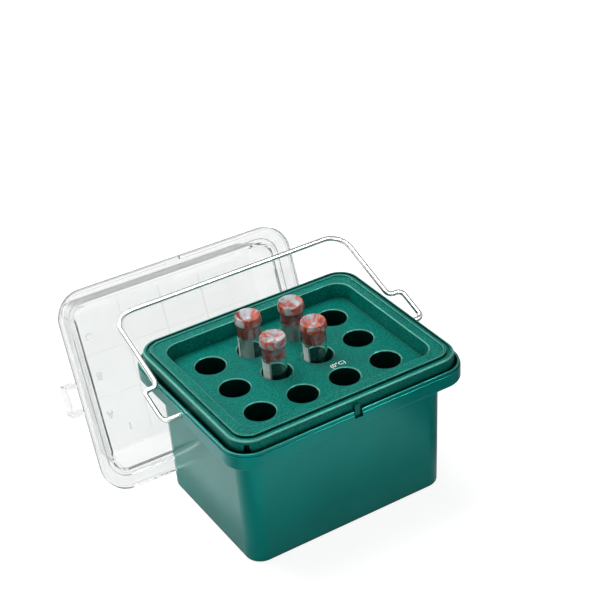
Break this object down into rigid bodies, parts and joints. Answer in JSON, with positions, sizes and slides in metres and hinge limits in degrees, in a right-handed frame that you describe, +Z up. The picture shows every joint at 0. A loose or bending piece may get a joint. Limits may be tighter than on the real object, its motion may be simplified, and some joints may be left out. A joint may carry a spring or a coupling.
{
  "type": "sample tube cooler",
  "caption": "Bench cooler for sample tubes: tapered green tub, well tray over cold gel, wire bail handle and a clear lift-off cover.",
  "frame": {"origin": "centre of the tub's foot, on the bench", "axes": "+Z up; +X along the long side, towards well column 4; +Y from the front long side to the back, where the cover stands"},
  "size_m": [0.1883, 0.1792, 0.1117],
  "materials": {
    "green_gloss": "glossy moulded plastic",
    "green_satin": "fine speckled moulded texture",
    "gel_fill": "frozen gel, sealed inside",
    "steel_wire": "bright stainless wire",
    "clear_cover": "clear moulded plastic",
    "tube_glass": "clear glass",
    "marbled_rubber": "red and grey marbled rubber",
    "paper_label": "white paper label with plain ruled lines"
  },
  "bodies": {
    "cooler": {"tub": "green_gloss", "insert": "green_satin", "gel": "gel_fill"},
    "handle": {"handle": "steel_wire"},
    "cover": {"cover": "clear_cover"},
    "tube_a2": {"glass_a2": "tube_glass", "stopper_a2": "marbled_rubber", "label_a2": "paper_label"},
    "tube_a3": {"glass_a3": "tube_glass", "stopper_a3": "marbled_rubber", "label_a3": "paper_label"},
    "tube_b2": {"glass_b2": "tube_glass", "stopper_b2": "marbled_rubber", "label_b2": "paper_label"},
    "tube_b3": {"glass_b3": "tube_glass", "stopper_b3": "marbled_rubber", "label_b3": "paper_label"}
  },
  "joints": [
    {"name": "handle_swing", "type": "hinge", "parent": "cooler", "child": "handle", "pos_m": [0, 0, 0.0763], "axis": [1, 0, 0], "range_deg": [-18, 195]},
    {"name": "cover_lift", "type": "slide", "parent": "cooler", "child": "cover", "axis": [0.0072, 0.3426, 0.9394], "range_m": [0, 0.05]},
    {"name": "tube_a2_lift", "type": "slide", "parent": "cooler", "child": "tube_a2", "axis": [-0.0055, 0.0096, 0.9999], "range_m": [0, 0.075]},
    {"name": "tube_a3_lift", "type": "slide", "parent": "cooler", "child": "tube_a3", "axis": [-0.0239, -0.0499, 0.9985], "range_m": [0, 0.075]},
    {"name": "tube_b2_lift", "type": "slide", "parent": "cooler", "child": "tube_b2", "axis": [-0.0096, 0.0082, 0.9999], "range_m": [0, 0.075]},
    {"name": "tube_b3_lift", "type": "slide", "parent": "cooler", "child": "tube_b3", "axis": [-0.0232, 0.0027, 0.9997], "range_m": [0, 0.075]}
  ]
}
